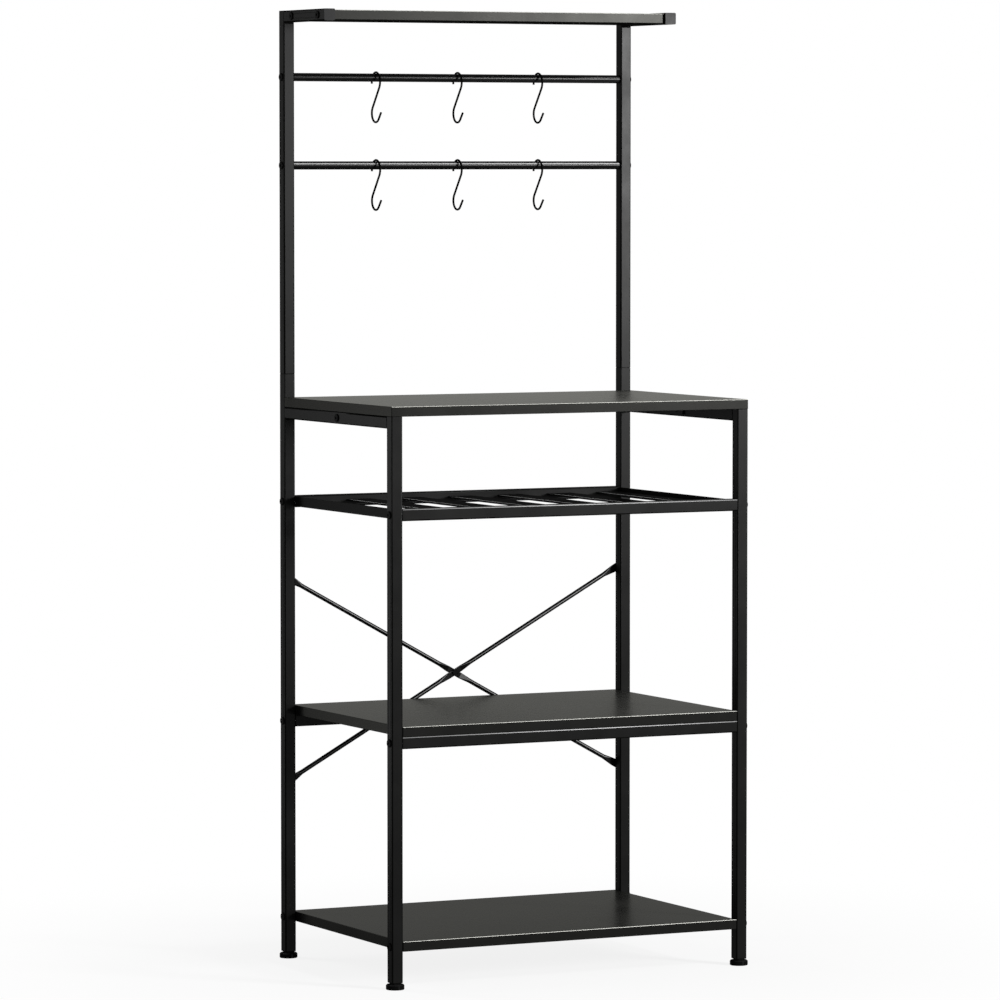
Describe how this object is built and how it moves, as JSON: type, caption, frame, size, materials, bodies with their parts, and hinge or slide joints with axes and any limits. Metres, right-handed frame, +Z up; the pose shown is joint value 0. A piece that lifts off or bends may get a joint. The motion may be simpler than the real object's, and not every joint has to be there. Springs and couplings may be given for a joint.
{
  "type": "shelf unit",
  "caption": "Free-standing kitchen shelf unit in black steel tube with board shelves, a slatted rack, a raised back with S-hooks on rods, a small top board and levelling feet.",
  "frame": {"origin": "on the floor, under the middle of the whole unit's outline", "axes": "+X to the unit's right as seen from the front, +Y to its rear, +Z up"},
  "size_m": [0.6094, 0.4122, 1.456],
  "materials": {
    "powder_coated_steel": "satin black powder coat on steel tube",
    "black_board": "black foil on particle board, fine matt grain",
    "black_plastic": "moulded, fine matt texture",
    "black_screw_steel": "black-finished steel, satin",
    "zinc_plated_steel": "bright zinc plating",
    "coated_hook_wire": "semi-gloss black coating on bent wire"
  },
  "bodies": {
    "frame": {"board_bushes": "zinc_plated_steel", "bottom_board": "black_board", "brace_bolts": "black_screw_steel", "brace_rivet": "black_screw_steel", "brace_rivet_nuts": "zinc_plated_steel", "brace_rod_falling": "powder_coated_steel", "brace_rod_rising": "powder_coated_steel", "bracket_screws": "black_screw_steel", "frame_screws": "black_screw_steel", "front_post_left": "powder_coated_steel", "front_post_right": "powder_coated_steel", "hook_rod_lower": "powder_coated_steel", "hook_rod_upper": "powder_coated_steel", "middle_board": "black_board", "middle_board_screws": "black_screw_steel", "middle_rail_front": "powder_coated_steel", "middle_rail_rear": "powder_coated_steel", "post_plugs": "black_plastic", "post_sleeves": "powder_coated_steel", "rack_bar_front": "powder_coated_steel", "rack_bar_rear": "powder_coated_steel", "rack_side_bar_left": "powder_coated_steel", "rack_side_bar_right": "powder_coated_steel", "rack_slat_1": "powder_coated_steel", "rack_slat_2": "powder_coated_steel", "rack_slat_3": "powder_coated_steel", "rack_slat_4": "powder_coated_steel", "rack_slat_5": "powder_coated_steel", "rack_slat_6": "powder_coated_steel", "rack_slat_7": "powder_coated_steel", "rear_post_left": "powder_coated_steel", "rear_post_right": "powder_coated_steel", "rod_end_inserts": "zinc_plated_steel", "side_rail_left": "powder_coated_steel", "side_rail_right": "powder_coated_steel", "top_arm_left": "powder_coated_steel", "top_arm_right": "powder_coated_steel", "top_board": "black_board", "tube_end_caps": "black_plastic", "tube_end_inserts": "zinc_plated_steel", "upper_post_left": "powder_coated_steel", "upper_post_right": "powder_coated_steel", "worktop_board": "black_board", "worktop_brackets": "powder_coated_steel", "worktop_screws": "black_screw_steel"},
    "foot_front_left": {"foot_pad_front_left": "black_plastic", "foot_stud_front_left": "black_screw_steel"},
    "foot_front_right": {"foot_pad_front_right": "black_plastic", "foot_stud_front_right": "black_screw_steel"},
    "foot_rear_left": {"foot_pad_rear_left": "black_plastic", "foot_stud_rear_left": "black_screw_steel"},
    "foot_rear_right": {"foot_pad_rear_right": "black_plastic", "foot_stud_rear_right": "black_screw_steel"},
    "hook_upper_left": {"s_hook_upper_left": "coated_hook_wire"},
    "hook_upper_middle": {"s_hook_upper_middle": "coated_hook_wire"},
    "hook_upper_right": {"s_hook_upper_right": "coated_hook_wire"},
    "hook_lower_left": {"s_hook_lower_left": "coated_hook_wire"},
    "hook_lower_middle": {"s_hook_lower_middle": "coated_hook_wire"},
    "hook_lower_right": {"s_hook_lower_right": "coated_hook_wire"}
  },
  "joints": [
    {"name": "turn_foot_front_left", "type": "hinge", "parent": "frame", "child": "foot_front_left", "pos_m": [-0.291, -0.19235, 0.01], "axis": [0, 0, 1], "continuous": true},
    {"name": "turn_foot_front_right", "type": "hinge", "parent": "frame", "child": "foot_front_right", "pos_m": [0.291, -0.19235, 0.01], "axis": [0, 0, 1], "continuous": true},
    {"name": "turn_foot_rear_left", "type": "hinge", "parent": "frame", "child": "foot_rear_left", "pos_m": [-0.291, 0.18965, 0.01], "axis": [0, 0, 1], "continuous": true},
    {"name": "turn_foot_rear_right", "type": "hinge", "parent": "frame", "child": "foot_rear_right", "pos_m": [0.291, 0.18965, 0.01], "axis": [0, 0, 1], "continuous": true},
    {"name": "swing_hook_upper_left", "type": "hinge", "parent": "frame", "child": "hook_upper_left", "pos_m": [-0.14, 0.18965, 1.355], "axis": [1, 0, 0], "range_deg": [-60, 60]},
    {"name": "swing_hook_upper_middle", "type": "hinge", "parent": "frame", "child": "hook_upper_middle", "pos_m": [0, 0.18965, 1.355], "axis": [1, 0, 0], "range_deg": [-60, 60]},
    {"name": "swing_hook_upper_right", "type": "hinge", "parent": "frame", "child": "hook_upper_right", "pos_m": [0.14, 0.18965, 1.355], "axis": [1, 0, 0], "range_deg": [-60, 60]},
    {"name": "swing_hook_lower_left", "type": "hinge", "parent": "frame", "child": "hook_lower_left", "pos_m": [-0.14, 0.18965, 1.22], "axis": [1, 0, 0], "range_deg": [-60, 60]},
    {"name": "swing_hook_lower_middle", "type": "hinge", "parent": "frame", "child": "hook_lower_middle", "pos_m": [0, 0.18965, 1.22], "axis": [1, 0, 0], "range_deg": [-60, 60]},
    {"name": "swing_hook_lower_right", "type": "hinge", "parent": "frame", "child": "hook_lower_right", "pos_m": [0.14, 0.18965, 1.22], "axis": [1, 0, 0], "range_deg": [-60, 60]}
  ]
}
